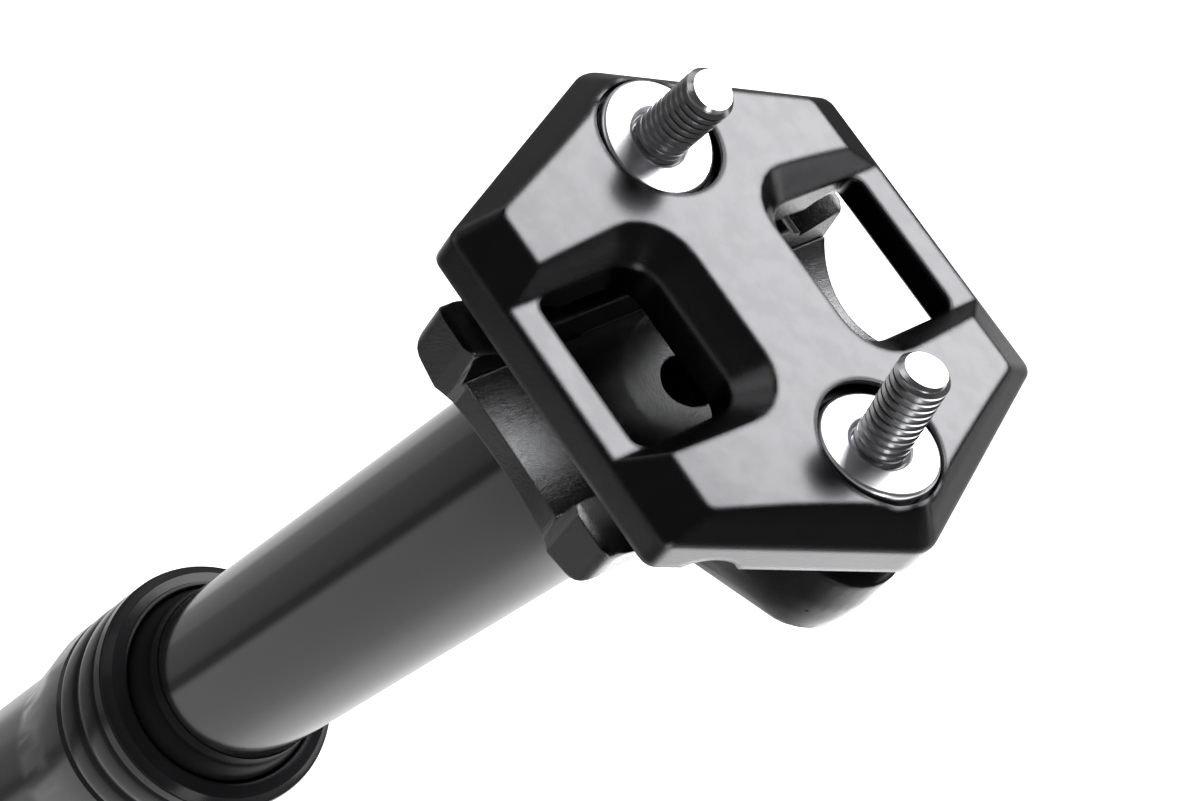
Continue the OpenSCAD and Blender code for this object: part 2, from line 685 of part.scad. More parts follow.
// The cradle's plan: full at the bars, drawn in along an arc between them.
module cradle_plan() {
    y1 = plate_y + horn_out;
    y0 = plate_y - waist_in;
    x0 = cradle_reach - bar_w - 0.4;
    waist_y = y0 + (x0 * x0 + pow(y1 - 1 - y0, 2)) / (2 * (y1 - 1 - y0));
    difference() {
        polygon(rounded([[cradle_reach, y1], [-cradle_reach, y1], [-cradle_reach, -y1], [cradle_reach, -y1]],
            [1.6, 1.6, 1.6, 1.6]));
        for (s = [-1, 1]) {
            translate([0, s * waist_y]) circle(r = waist_y - y0, $fn = 200);
            scale([1, s]) polygon([[-x0, y1 - 1], [x0, y1 - 1], [x0 + 1.3, y1 + 0.1], [x0 + 1.3, y1 + 9],
                [-x0 - 1.3, y1 + 9], [-x0 - 1.3, y1 + 0.1]]);
        }
    }
}

module lower_cradle() {
    color([0.17, 0.17, 0.18]) clamp_frame() difference() {
        union() {
            intersection() {
                translate([0, 100, 0]) rotate([90, 0, 0]) linear_extrude(200) cradle_profile();
                translate([0, 0, -40]) linear_extrude(40) cradle_plan();
                union() {
                    for (s = [-1, 1]) translate([-50, s > 0 ? seat_w + 1 : -100, -40])
                        cube([100, 99 - seat_w, 40]);
                    translate([0, 0, -seat_depth]) rotate([90, 0, 0])
                        cylinder(r = seat_r, h = 2 * seat_w + 3, center = true);
                }
            }
            intersection() {
                translate([-cradle_reach + 2.5, -seat_w, -seat_depth - seat_r - 1])
                    cube([2 * cradle_reach - 5, 2 * seat_w, seat_r]);
                translate([0, 0, -seat_depth]) rotate([90, 0, 0]) difference() {
                    cylinder(r = seat_r, h = 2 * seat_w, center = true);
                    cylinder(r = seat_r - wing_step - floor_h, h = 50, center = true);
                }
            }
        }
        for (s = [-1, 1]) translate([0, s * rail_y, -rail_depth]) rotate([0, 90, 0])
            cylinder(r = rail_r, h = 200, center = true);
        translate([-60, -60, -bar_depth]) cube([120, 120, 20]);
        translate([0, 0, -40]) cylinder(d = centre_hole_d, h = 40);
        intersection() {
            translate([0, 0, -40]) cylinder(r = recess_r, h = 40);
            translate([0, 0, -seat_depth]) rotate([90, 0, 0])
                cylinder(r = seat_r - wing_step - floor_h + recess_h, h = 2 * recess_r + 2, center = true);
        }
    }
}

// The thread's outline along the bolt, from one height to the next.
function thread(low, high) = let (n = floor((high - low) / pitch))
    [for (i = [0 : n - 1]) each [[shank_r, low + i * pitch], [shank_r, low + (i + 0.12) * pitch],
        [shank_r - 0.5 * pitch, low + (i + 0.5) * pitch], [shank_r, low + (i + 0.88) * pitch]]];

module bolt(side) {
    tip = bolt_reach + bolt_out + (side < 0 ? rear_out : 0);
    start = washer_low + 8;
    color([0.82, 0.83, 0.85]) bolt_frame(side) difference() {
        rotate_extrude() polygon(concat(
            [[0, -washer_low], [bolt_head_d / 2 - 0.5, -washer_low], [bolt_head_d / 2, -washer_low + 0.5],
                [bolt_head_d / 2, washer_low], [shank_r, washer_low]],
            thread(start, tip - 0.8),
            [[shank_r, tip - 0.7], [shank_r - 0.6, tip], [0, tip]]));
        hexagon(5, -washer_low - 1, -washer_low + 3.2);
    }
}

module washer(side) {
    color([0.75, 0.76, 0.78]) bolt_frame(side) difference() {
        intersection() {
            rotate([90, 0, 0]) cylinder(r = cup_r, h = 20, center = true);
            translate([0, 0, washer_low]) cylinder(d = bolt_head_d, h = 10);
        }
        cylinder(r = shank_r + 0.1, h = 20);
    }
}

module nut(side) {
    color([0.86, 0.87, 0.88]) bolt_frame(side) translate([0, 0, bolt_reach]) difference() {
        intersection() {
            sphere(r = nut_r);
            rotate_extrude() polygon([[0, -nut_h], [nut_r + 1, -nut_h], [nut_r + 1, -1.3],
                [nut_r - 0.3, 0], [0, 0]]);
        }
        translate([0, 0, -10]) cylinder(r = shank_r + run_gap, h = 20);
        rotate_extrude() polygon([[0, -0.6], [shank_r, -0.6], [shank_r + 0.6, 0.01], [0, 0.01]]);
    }
}

module front_bolt() { bolt(1); }
module rear_bolt() { bolt(-1); }
module front_washer() { washer(1); }
module rear_washer() { washer(-1); }
module front_nut() { nut(1); }
module rear_nut() { nut(-1); }

// The round end of the head at one bolt.
module ear(side) {
    clamp_frame() translate([side * (ear_x - 0.3), 0, -rim_depth - ear_r + 1]) {
        sphere(r = ear_r, $fn = 32);
        cylinder(r = ear_r, h = ear_r - 1, $fn = 32);
        translate([0, 0, -ear_depth + rim_depth + ear_r + 1.9]) sphere(r = ear_r, $fn = 32);
    }
}

// The part of the head that stands on the stanchion's end.
module foot() {
    cylinder_at(post_r, foot_z, foot_z + 1.2);
}

// The low end of the web under one ear, against the stanchion.
module web_end() {
    translate([0, 0, foot_z - web_h]) linear_extrude(web_h) intersection() {
        circle(r = web_r);
        square([2 * web_r, 2 * web_w], center = true);
    }
}

module head() {
    hollow_r = ear_r - 1.7;
    color([0.12, 0.12, 0.13]) difference() {
        union() {
            for (s = [-1, 1]) hull() {
                ear(s);
                web_end($fn = 48);
            }
            intersection() {
                hull() {
                    clamp_frame() translate([-15, -seat_w, -seat_depth - seat_r])
                        cube([30, 2 * seat_w, 6.5]);
                    foot($fn = 48);
                }
                translate([-60, -60, foot_z]) cube(120);
            }
            ring(spigot_bore, post_bore - glue_gap, spigot_z, foot_z + 0.01);
        }
        difference() {
            cylinder_at(post_r + glue_gap, foot_z - 60, foot_z);
            cylinder_at(post_bore - glue_gap, foot_z - 61, foot_z + 1);
        }
        ring(post_r, web_r + 1.4, spigot_z, foot_z - web_h);
        clamp_frame() {
            translate([0, 0, -seat_depth]) rotate([90, 0, 0])
                cylinder(r = seat_r + run_gap, h = 60, center = true);
            translate([-60, -60, -rim_depth]) cube(120);
            for (s = [-1, 1]) translate([s * (ear_x - 0.6), 0, -ear_floor]) {
                cylinder(r = hollow_r, h = 30);
                translate([s > 0 ? -8 : 0, -hollow_r, 0]) cube([8, 2 * hollow_r, 30]);
            }
        }
        for (s = [-1, 1]) bolt_frame(s) {
            intersection() {
                rotate([90, 0, 0]) cylinder(r = cup_r + run_gap, h = bolt_head_d + 1.4, center = true);
                translate([-20, -20, washer_low - 0.3]) cube(40);
            }
            translate([0, 0, -ear_depth]) cylinder(r = bolt_head_d / 2 + 0.45, h = ear_depth + washer_low);
            cylinder(r = shank_r + 0.7, h = 20);
        }
        cylinder_at(centre_hole_d / 2, foot_z - spigot_floor - 1, clamp_z);
        cylinder_at(spigot_bore, spigot_z - 1, foot_z - spigot_floor);
    }
}

outer_tube();
collar();
wiper_seal();
upper_bushing();
seal_washer();
base_cap();
cable_stop();
lever_pin();
lever_clips();
rod();
rod_nut();
piston();
piston_ring();
piston_nut();
topout_bumper();
bottomout_bumper();
return_spring();
valve_pin();
release_lever();
stanchion();
head();
lower_bushing();
guide_keys();
cartridge_tube();
cartridge_cap();
gas_valve();
gland();
gland_ring();
rod_seal();
stanchion_circlip();
floating_piston();
floating_ring();
lower_cradle();
top_plate();
front_bolt();
rear_bolt();
front_washer();
rear_washer();
front_nut();
rear_nut();
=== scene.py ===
import json
from math import atan2, ceil, cos, hypot, pi, radians, tan

import bmesh
import bpy
from mathutils import Matrix, Vector
from mathutils.bvhtree import BVHTree


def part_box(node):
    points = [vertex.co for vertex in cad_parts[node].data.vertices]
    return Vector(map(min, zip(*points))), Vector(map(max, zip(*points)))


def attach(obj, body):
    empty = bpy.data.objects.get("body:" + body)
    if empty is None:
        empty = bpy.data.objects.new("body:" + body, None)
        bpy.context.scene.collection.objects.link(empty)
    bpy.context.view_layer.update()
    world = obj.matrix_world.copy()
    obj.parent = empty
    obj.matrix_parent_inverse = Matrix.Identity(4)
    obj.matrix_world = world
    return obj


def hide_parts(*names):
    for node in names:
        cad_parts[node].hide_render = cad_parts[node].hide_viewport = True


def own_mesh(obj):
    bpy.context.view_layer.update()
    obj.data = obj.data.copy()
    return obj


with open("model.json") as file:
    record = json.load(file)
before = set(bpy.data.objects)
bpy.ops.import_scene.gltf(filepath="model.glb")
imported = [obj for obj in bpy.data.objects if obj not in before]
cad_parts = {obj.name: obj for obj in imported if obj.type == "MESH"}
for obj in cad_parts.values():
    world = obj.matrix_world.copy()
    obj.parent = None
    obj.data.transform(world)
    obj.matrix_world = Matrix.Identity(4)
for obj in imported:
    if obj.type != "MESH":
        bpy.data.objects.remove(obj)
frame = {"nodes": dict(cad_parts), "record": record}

bl_info = {
    "name": "Dropper Seatpost Dressing",
    "version": (1, 0, 0),
    "blender": (4, 5, 0),
    "location": "View3D > Sidebar > Seatpost",
    "description": "Dresses the telescopic seatpost: shaped pieces, finishes and a studio",
    "category": "Object",
}

MM = 0.001
# The clamp's own frame: height 0 is the plate's top, X runs along the saddle's rails.
CLAMP_LEAN = radians(11)
CLAMP_FOOT = 0.160  # height on the post's axis about which the frame leans
PLATE_TOP = 0.0145  # from there to the plate's top
CLAMP = (
    Matrix.Translation((0, 0, CLAMP_FOOT)) @ Matrix.Rotation(CLAMP_LEAN, 4, "Y")
    @ Matrix.Translation((0, 0, PLATE_TOP))
)
INTO_CLAMP = CLAMP.inverted()

# Depths below the plate's top.
PLATE_BEVEL_DEPTH = 0.0042  # edges of the plate above this are rounded widely
BAR_DEPTH = 0.0118  # the top of the cradle's bars
EAR_RIM_DEPTH = 0.0125  # edges of the head above this are rounded
EAR_SKIN_DEPTH = 0.0225  # the ears' rounded outside ends here

# The cradle's horns.
HORN_RIM = 0.0012  # flat top left at each horn's outer end
HORN_WIDTH = 0.0059
HORN_SLOPE = radians(21.7)
BLOCK_LENGTH = 0.2  # the block that cuts the slope is well past the cradle in both of these
BLOCK_HEIGHT = 0.02

# The clamp bolts.
BOLT_LEAN = radians(9.1)
NUT_DEPTH = 0.0002  # at this depth below the plate's top each bolt is NUT_X from the middle
NUT_X = 0.0202
PIVOT_DEPTH = 0.022
PIVOT_DROP = PIVOT_DEPTH - NUT_DEPTH
BOLT_OUT = {1: 0.0105, -1: 0.0115}  # length of each bolt past NUT_DEPTH
# Each bolt's own frame, with height 0 at its pivot in the head: 1 is in front and -1 behind.
BOLT = {
    side: CLAMP @ Matrix.Translation((side * (NUT_X + PIVOT_DROP * tan(BOLT_LEAN)), 0, -PIVOT_DEPTH))
    @ Matrix.Rotation(-side * BOLT_LEAN, 4, "Y")
    for side in (1, -1)
}

# The bolts' measures, in millimetres and from the pivot up.
BOLT_RADIUS = 3
BOLT_PITCH = 1
THREAD_START = 11
TIP_CHAMFER = 0.7
SOCKET_RADIUS = 2.5
SOCKET_FLOOR = 0.2
# Radius and height of each corner, from the socket's floor over the head and up the shank.
BOLT_OUTLINE = (
    (0, SOCKET_FLOOR), (SOCKET_RADIUS, SOCKET_FLOOR), (SOCKET_RADIUS, -2.7), (2.75, -3), (4, -3),
    (4.3, -2.92), (4.52, -2.7), (4.6, -2.4), (4.6, 2.8), (4.4, 3), (3.15, 3), (BOLT_RADIUS, 3.15),
    (BOLT_RADIUS, THREAD_START), (0, THREAD_START),
)

# Bearings round the post are shares of a turn, with 0.5 towards the camera.
VIEW_BEARING = radians(97.9)
# Painted reflection bands on the floor, seen in reflections only and standing in for cards. Each has its
# start, its end, how far its edges fade to each side, and its level beside the bare floor's.
PAINTED_REFLECTION_BANDS = (
    (0.17, 0.27, 0.015, 0.55),  # painted grey band
    (0.27, 0.395, 0.015, 0.4),  # painted dark band
    (0.39, 0.435, 0.015, 0.2),  # painted black band
    (0.70, 0.92, 0.05, 1.35),  # painted bright band
)

# The camera's place and orientation.
CAMERA_AT = Vector((-0.028424, 0.206168, 0.393248))
CAMERA_TURN = Matrix(
    ((-0.462139, 0.881635, -0.095637), (-0.713992, -0.305947, 0.629771), (0.525969, 0.359327, 0.770871))
)
CAMERA_FOCAL = 2902.2  # in pixels, for a frame 1200 pixels wide


def low(node):
    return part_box(node)[0]


def high(node):
    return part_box(node)[1]


class SeatpostSizes(bpy.types.PropertyGroup):
    plate_top: bpy.props.FloatProperty(
        name="Plate's top edges", description="Rounding of the edges round the plate's top", default=0.001,
        unit="LENGTH"
    )
    plate_edge: bpy.props.FloatProperty(
        name="Plate's lower edges", description="Rounding of the plate's other edges", default=0.0006,
        unit="LENGTH"
    )
    forged_edge: bpy.props.FloatProperty(
        name="Forged edges", description="Rounding of the edges on top of the head's ears", default=0.00045,
        unit="LENGTH"
    )
    turned_edge: bpy.props.FloatProperty(
        name="Turned edges", description="Rounding of tube, collar, base cap, stop and lever",
        default=0.00018, unit="LENGTH"
    )
    nut_edge: bpy.props.FloatProperty(
        name="Nut edges", description="Rounding of the nuts' edges", default=0.0002, unit="LENGTH"
    )
    thread_steps: bpy.props.IntProperty(
        name="Thread steps", description="Steps in one turn of the bolts' thread", default=48, min=24, max=96
    )


class SeatpostColours(bpy.types.PropertyGroup):
    plate: bpy.props.FloatVectorProperty(
        name="Plate", description="Anodised black of the plate", default=(0.05, 0.05, 0.052), subtype="COLOR"
    )
    cradle: bpy.props.FloatVectorProperty(
        name="Cradle", description="Anodised black of the cradle", default=(0.075, 0.075, 0.077),
        subtype="COLOR"
    )
    forging: bpy.props.FloatVectorProperty(
        name="Forging", description="Satin black of the head", default=(0.008, 0.008, 0.009), subtype="COLOR"
    )
    stanchion: bpy.props.FloatVectorProperty(
        name="Stanchion", description="Gloss black of the stanchion", default=(0.008, 0.008, 0.009),
        subtype="COLOR"
    )
    tube: bpy.props.FloatVectorProperty(
        name="Tube", description="Black of the tube and the collar", default=(0.009, 0.009, 0.010),
        subtype="COLOR"
    )


def new_group(name, inputs, outputs):
    group = bpy.data.node_groups.new(name, "ShaderNodeTree")
    for label, kind, value in inputs:
        socket = group.interface.new_socket(label, in_out="INPUT", socket_type=kind)
        socket.default_value = value
    for label, kind in outputs:
        group.interface.new_socket(label, in_out="OUTPUT", socket_type=kind)
    return group, group.nodes.new("NodeGroupInput"), group.nodes.new("NodeGroupOutput")


def node(tree, kind, **values):
    made = tree.nodes.new(kind)
    for key, value in values.items():
        setattr(made, key, value)
    return made


def maths(tree, operation, a, b=0.0, clamp=False):
    made = node(tree, "ShaderNodeMath", operation=operation, use_clamp=clamp)
    for socket, value in zip(made.inputs, (a, b)):
        if isinstance(value, (int, float)):
            socket.default_value = value
        else:
            tree.links.new(value, socket)
    return made.outputs[0]


def ramp(tree, factor, low_at, high_at, low_value=0.0, high_value=1.0):
    made = node(tree, "ShaderNodeMapRange", interpolation_type="SMOOTHSTEP")
    tree.links.new(factor, made.inputs["Value"])
    limits = {"From Min": low_at, "From Max": high_at, "To Min": low_value, "To Max": high_value}
    for label, value in limits.items():
        made.inputs[label].default_value = value
    return made.outputs["Result"]


def from_axis(tree, split):
    """The distance from the Z axis of a vector that has been split."""
    squares = [maths(tree, "MULTIPLY", split.outputs[axis], split.outputs[axis]) for axis in ("X", "Y")]
    return maths(tree, "SQRT", maths(tree, "ADD", *squares))


def grain_group():
    """Fine cast grain with softer mottling: a height and a patch value."""
    group, ins, outs = new_group(
        "Fine grain",
        [("Scale", "NodeSocketFloat", 900.0), ("Softness", "NodeSocketFloat", 0.5)],
        [("Height", "NodeSocketFloat"), ("Patch", "NodeSocketFloat")],
    )
    where = node(group, "ShaderNodeTexCoord").outputs["Object"]
    fine = node(group, "ShaderNodeTexNoise")
    fine.inputs["Detail"].default_value = 3
    group.links.new(where, fine.inputs["Vector"])
    group.links.new(ins.outputs["Scale"], fine.inputs["Scale"])
    group.links.new(ins.outputs["Softness"], fine.inputs["Roughness"])
    patch = node(group, "ShaderNodeTexNoise")
    patch.inputs["Detail"].default_value = 4
    group.links.new(where, patch.inputs["Vector"])
    group.links.new(maths(group, "MULTIPLY", ins.outputs["Scale"], 0.07), patch.inputs["Scale"])
    group.links.new(fine.outputs["Fac"], outs.inputs["Height"])
    group.links.new(ramp(group, patch.outputs["Fac"], 0.35, 0.65), outs.inputs["Patch"])
    return group


def handling_group():
    """Faint scuffs from handling, as a mask from 0 to 1."""
    group, ins, outs = new_group(
        "Handling marks",
        [("Scale", "NodeSocketFloat", 60.0), ("Amount", "NodeSocketFloat", 0.5)],
        [("Mask", "NodeSocketFloat")],
    )
    where = node(group, "ShaderNodeTexCoord").outputs["Object"]
    cloud = node(group, "ShaderNodeTexNoise")
    cloud.inputs["Detail"].default_value = 5
    group.links.new(where, cloud.inputs["Vector"])
    group.links.new(ins.outputs["Scale"], cloud.inputs["Scale"])
    worn = ramp(group, cloud.outputs["Fac"], 0.4, 0.75)
    group.links.new(maths(group, "MULTIPLY", worn, ins.outputs["Amount"], clamp=True), outs.inputs["Mask"])
    return group


def lathe_group():
    """Fine turned rings about the Z axis, as a height."""
    group, ins, outs = new_group(
        "Turned rings",
        [("Scale", "NodeSocketFloat", 2500.0)],
        [("Height", "NodeSocketFloat")],
    )
    where = node(group, "ShaderNodeTexCoord").outputs["Object"]
    split = node(group, "ShaderNodeSeparateXYZ")
    group.links.new(where, split.inputs[0])
    along = node(group, "ShaderNodeCombineXYZ")
    group.links.new(from_axis(group, split), along.inputs["X"])
    group.links.new(split.outputs["Z"], along.inputs["Z"])
    noise = node(group, "ShaderNodeTexNoise")
    noise.inputs["Detail"].default_value = 2
    group.links.new(along.outputs[0], noise.inputs["Vector"])
    group.links.new(ins.outputs["Scale"], noise.inputs["Scale"])
    group.links.new(noise.outputs["Fac"], outs.inputs["Height"])
    return group


EDGE_WEAR_AND_HIGHLIGHT_RADIUS = 0.0003


def edge_wear_and_highlight_group():
    """Edges lighter as wear and as a painted edge highlight, broken up by noise, as a mask from 0 to 1."""
    group, ins, outs = new_group(
        "Edge wear",
        [("Scale", "NodeSocketFloat", 500.0), ("Amount", "NodeSocketFloat", 0.5)],
        [("Mask", "NodeSocketFloat")],
    )
    where = node(group, "ShaderNodeTexCoord").outputs["Object"]
    eased = node(group, "ShaderNodeBevel", samples=4)
    eased.inputs["Radius"].default_value = EDGE_WEAR_AND_HIGHLIGHT_RADIUS
    turned = node(group, "ShaderNodeVectorMath", operation="DOT_PRODUCT")
    group.links.new(eased.outputs["Normal"], turned.inputs[0])
    group.links.new(node(group, "ShaderNodeNewGeometry").outputs["Normal"], turned.inputs[1])
    noise = node(group, "ShaderNodeTexNoise")
    noise.inputs["Detail"].default_value = 4
    group.links.new(where, noise.inputs["Vector"])
    group.links.new(ins.outputs["Scale"], noise.inputs["Scale"])
    bend = ramp(group, turned.outputs["Value"], 0.98, 0.85)
    # Lighter edges: wear and a painted edge highlight together.
    worn = maths(group, "MULTIPLY", bend, ramp(group, noise.outputs["Fac"], 0.42, 0.6))
    group.links.new(maths(group, "MULTIPLY", worn, ins.outputs["Amount"], clamp=True), outs.inputs["Mask"])
    return group


GROUPS = {}
BUMP_DISTANCE = 0.0001


def place(tree, name, **values):
    made = node(tree, "ShaderNodeGroup", node_tree=GROUPS[name])
    for key, value in values.items():
        made.inputs[key].default_value = value
    return made


def mixed(tree, factor, a, b):
    made = node(tree, "ShaderNodeMix", data_type="RGBA")
    tree.links.new(factor, made.inputs["Factor"])
    for socket, value in ((made.inputs[6], a), (made.inputs[7], b)):
        socket.default_value = (*value, 1)
    return made.outputs[2]


def finish(name, colour, light, rough, metallic=0.0, grain=900.0, depth=0.1, rings=False, wear_and_highlight=0.4,
           marks=0.5, patch=0.03, ior=1.5, soft=0.0, cast=False):
    """A metal, rubber or polymer finish with grain, handling marks and edges lightened as wear and as a
    painted highlight.

    Light is its colour where worn or given a painted edge highlight, and rough is its roughness where fresh
    and where handled. Soft is the radius that its edges seem to have, and cast takes most of the grain off
    the clamp's machined top.
    """
    material = bpy.data.materials.new(name)
    material.use_nodes = True
    material.diffuse_color = (*colour, 1)
    tree = material.node_tree
    shader = tree.nodes["Principled BSDF"]
    speck = place(tree, "Fine grain", Scale=grain)
    mark = place(tree, "Handling marks", Amount=marks)
    shade = maths(tree, "MULTIPLY", speck.outputs["Patch"], patch)
    # Edges lighter as wear and as a painted edge highlight.
    if wear_and_highlight:
        shade = maths(tree, "ADD", place(tree, "Edge wear", Amount=wear_and_highlight).outputs["Mask"], shade, clamp=True)
    tree.links.new(mixed(tree, shade, colour, light), shader.inputs["Base Color"])
    fresh, handled = rough
    spread = maths(tree, "ADD", maths(tree, "MULTIPLY", mark.outputs["Mask"], handled - fresh), fresh)
    tree.links.new(spread, shader.inputs["Roughness"])
    bump = node(tree, "ShaderNodeBump")
    bump.inputs["Strength"].default_value = depth
    bump.inputs["Distance"].default_value = BUMP_DISTANCE
    height = speck.outputs["Height"]
    if cast:
        height = maths(tree, "MULTIPLY", height, below_top(tree))
    if rings:
        height = maths(tree, "ADD", height, place(tree, "Turned rings").outputs["Height"])
    tree.links.new(height, bump.inputs["Height"])
    if soft:
        eased = node(tree, "ShaderNodeBevel", samples=6)
        eased.inputs["Radius"].default_value = soft
        tree.links.new(eased.outputs["Normal"], bump.inputs["Normal"])
    tree.links.new(bump.outputs["Normal"], shader.inputs["Normal"])
    shader.inputs["Metallic"].default_value = metallic
    shader.inputs["IOR"].default_value = ior
    return material


CAST_FROM = 0.0006
CAST_FULL = 0.002


def below_top(tree):
    """Nearly 0 on the clamp's machined top and 1 on the cast faces below it."""
    square = node(tree, "ShaderNodeVectorMath", operation="DOT_PRODUCT")
    tree.links.new(node(tree, "ShaderNodeTexCoord").outputs["Object"], square.inputs[0])
    up = CLAMP.to_3x3() @ Vector((0, 0, 1))
    square.inputs[1].default_value = up
    top = up.dot(CLAMP.translation)
    return ramp(tree, square.outputs["Value"], top - CAST_FROM, top - CAST_FULL, 0.1, 1.0)


FINISH = {}


def make_finishes():
    GROUPS["Fine grain"] = grain_group()
    GROUPS["Handling marks"] = handling_group()
    GROUPS["Turned rings"] = lathe_group()
    GROUPS["Edge wear"] = edge_wear_and_highlight_group()
    colours = bpy.context.scene.seatpost_colours
    plate, cradle, forging = tuple(colours.plate), tuple(colours.cradle), tuple(colours.forging)
    stanchion, tube = tuple(colours.stanchion), tuple(colours.tube)
    # The plate's lighter edges are mostly a painted edge highlight, with a little wear.
    FINISH["plate_black"] = finish(
        "Anodised black plate", plate, (0.12, 0.12, 0.123), (0.2, 0.25), metallic=1.0, depth=0.25, grain=5200,
        wear_and_highlight=0.16, marks=0.15, patch=0.07, soft=0.001, cast=True
    )
    FINISH["cradle_black"] = finish(
        "Anodised black cradle", cradle, (0.2, 0.2, 0.2), (0.26, 0.32), metallic=1.0, depth=0.6, grain=5200,
        wear_and_highlight=0.3, marks=0.06, soft=0.0003
    )
    FINISH["forged_black"] = finish(
        "Satin black forging", forging, (0.06, 0.06, 0.06), (0.26, 0.34), grain=3600, wear_and_highlight=0.15, ior=1.18,
        soft=0.0003
    )
    FINISH["stud_steel"] = finish(
        "Zinc-plated bolt steel", (0.44, 0.44, 0.45), (0.7, 0.7, 0.71), (0.2, 0.32), metallic=1.0, depth=0.08,
        grain=2600
    )
    FINISH["stanchion_black"] = finish(
        "Gloss black stanchion", stanchion, (0.03, 0.03, 0.03), (0.1, 0.16), depth=0.01, wear_and_highlight=0.0, marks=0.2,
        patch=0.0
    )
    FINISH["tube_black"] = finish(
        "Satin black tube", tube, (0.04, 0.04, 0.04), (0.17, 0.23), depth=0.04, grain=3200, wear_and_highlight=0.1,
        marks=0.1, patch=0.0, ior=1.38
    )
    FINISH["collar_black"] = finish(
        "Satin black collar", tube, (0.03, 0.03, 0.03), (0.18, 0.24), depth=0.03, grain=3200, wear_and_highlight=0.1,
        marks=0.05, patch=0.0, ior=1.25
    )
    FINISH["rubber"] = finish(
        "Black rubber", (0.006, 0.006, 0.006), (0.02, 0.02, 0.02), (0.34, 0.42), wear_and_highlight=0.04, ior=1.15
    )
    FINISH["bushing"] = finish(
        "Bearing polymer", (0.5, 0.46, 0.36), (0.6, 0.57, 0.48), (0.4, 0.55), depth=0.2
    )
    FINISH["brass"] = finish(
        "Satin brass", (0.62, 0.42, 0.15), (0.8, 0.62, 0.3), (0.25, 0.4), metallic=1.0, rings=True
    )
    FINISH["steel"] = finish(
        "Bright plated steel", (0.6, 0.6, 0.62), (0.8, 0.8, 0.81), (0.32, 0.42), metallic=1.0, grain=3000,
        wear_and_highlight=0.2
    )
    FINISH["dark_steel"] = finish(
        "Blued spring steel", (0.09, 0.09, 0.1), (0.4, 0.4, 0.42), (0.3, 0.45), metallic=0.9
    )
    FINISH["bright_alloy"] = finish(
        "Turned alloy", (0.6, 0.6, 0.62), (0.8, 0.8, 0.82), (0.22, 0.36), metallic=1.0, rings=True
    )


def give(obj, key):
    obj.data.materials.clear()
    obj.data.materials.append(FINISH[key])


def keep(mesh, name, body, key, nodes, smooth=30, flat=True):
    """Turns a finished bmesh into a piece that rides on a body and stands for nodes."""
    bmesh.ops.recalc_face_normals(mesh, faces=mesh.faces)
    data = bpy.data.meshes.new(name)
    mesh.to_mesh(data)
    mesh.free()
    data.set_sharp_from_angle(angle=radians(smooth))
    for polygon in data.polygons:
        polygon.use_smooth = True
    obj = bpy.data.objects.new(name, data)
    bpy.context.scene.collection.objects.link(obj)
    give(obj, key)
    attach(obj, body)
    if flat:
        weighted = obj.modifiers.new("Flat faces stay flat", "WEIGHTED_NORMAL")
        weighted.keep_sharp = True
    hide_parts(*nodes)
    return obj


def clamp_depth(vertex):
    """How deep a vertex lies below the plate's top, square to it."""
    return -(INTO_CLAMP @ vertex.co).z


def above(depth):
    """Picks the edges that lie wholly above a depth below the plate's top."""
    return lambda edge: max(clamp_depth(v) for v in edge.verts) < depth


MERGE = 1e-6
FLAT_ANGLE = radians(0.8)
SHARP = 20


def merged_copy(name):
    """A merged copy of a carried-over solid, with its flat faces whole."""
    mesh = bmesh.new()
    mesh.from_mesh(frame["nodes"][name].data)
    bmesh.ops.remove_doubles(mesh, verts=mesh.verts, dist=MERGE)
    bmesh.ops.dissolve_limit(mesh, angle_limit=FLAT_ANGLE, verts=mesh.verts, edges=mesh.edges)
    return mesh


def round_edges(mesh, width, angle, pick=None):
    """Rounds the edges that turn by more than an angle in degrees, or those of them that pick takes."""
    sharp = [e for e in mesh.edges if len(e.link_faces) == 2 and e.calc_face_angle(0.0) > radians(angle)
             and (pick is None or pick(e))]
    if width and sharp:
        bmesh.ops.bevel(mesh, geom=sharp, offset=width, offset_type="OFFSET", segments=3, profile=0.5,
                        affect="EDGES", clamp_overlap=True, material=-1)


def rounded_copy(name, body, key, edge, wide=0.0, pick=None):
    """A merged copy of a solid with its sharp edges rounded, more widely where pick says so."""
    mesh = merged_copy(name)
    round_edges(mesh, wide, SHARP, pick)
    round_edges(mesh, edge, SHARP)
    keep(mesh, name + "_finished", body, key, [name], 35)


EAR_START = 0.008  # each ear starts this far from the clamp's middle
EAR_SHARP = 35  # edges of the ears that turn by more degrees than this stay sharp until they are rounded
SKIN_NEAR = 0.00002  # how near to the ear's hull a vertex of its outside lies
SKIN_EDGE = 0.0016
SKIN_STEPS = 7


def outer_skin(mesh, side):
    """Makes the test of whether a vertex lies on the rounded outside of the ear on one side."""
    def beside(vertex):
        return side * (INTO_CLAMP @ vertex.co).x > EAR_START

    def outside(vertex):
        if not beside(vertex) or clamp_depth(vertex) >= EAR_SKIN_DEPTH:
            return False
        return tree.find_nearest(vertex.co)[3] < SKIN_NEAR

    hull = bmesh.new()
    for vertex in mesh.verts:
        if beside(vertex):
            hull.verts.new(vertex.co)
    made = bmesh.ops.convex_hull(hull, input=hull.verts)
    bmesh.ops.delete(hull, geom=list(set(made["geom_interior"] + made["geom_unused"])), context="VERTS")
    tree = BVHTree.FromBMesh(hull)
    hull.free()
    return outside


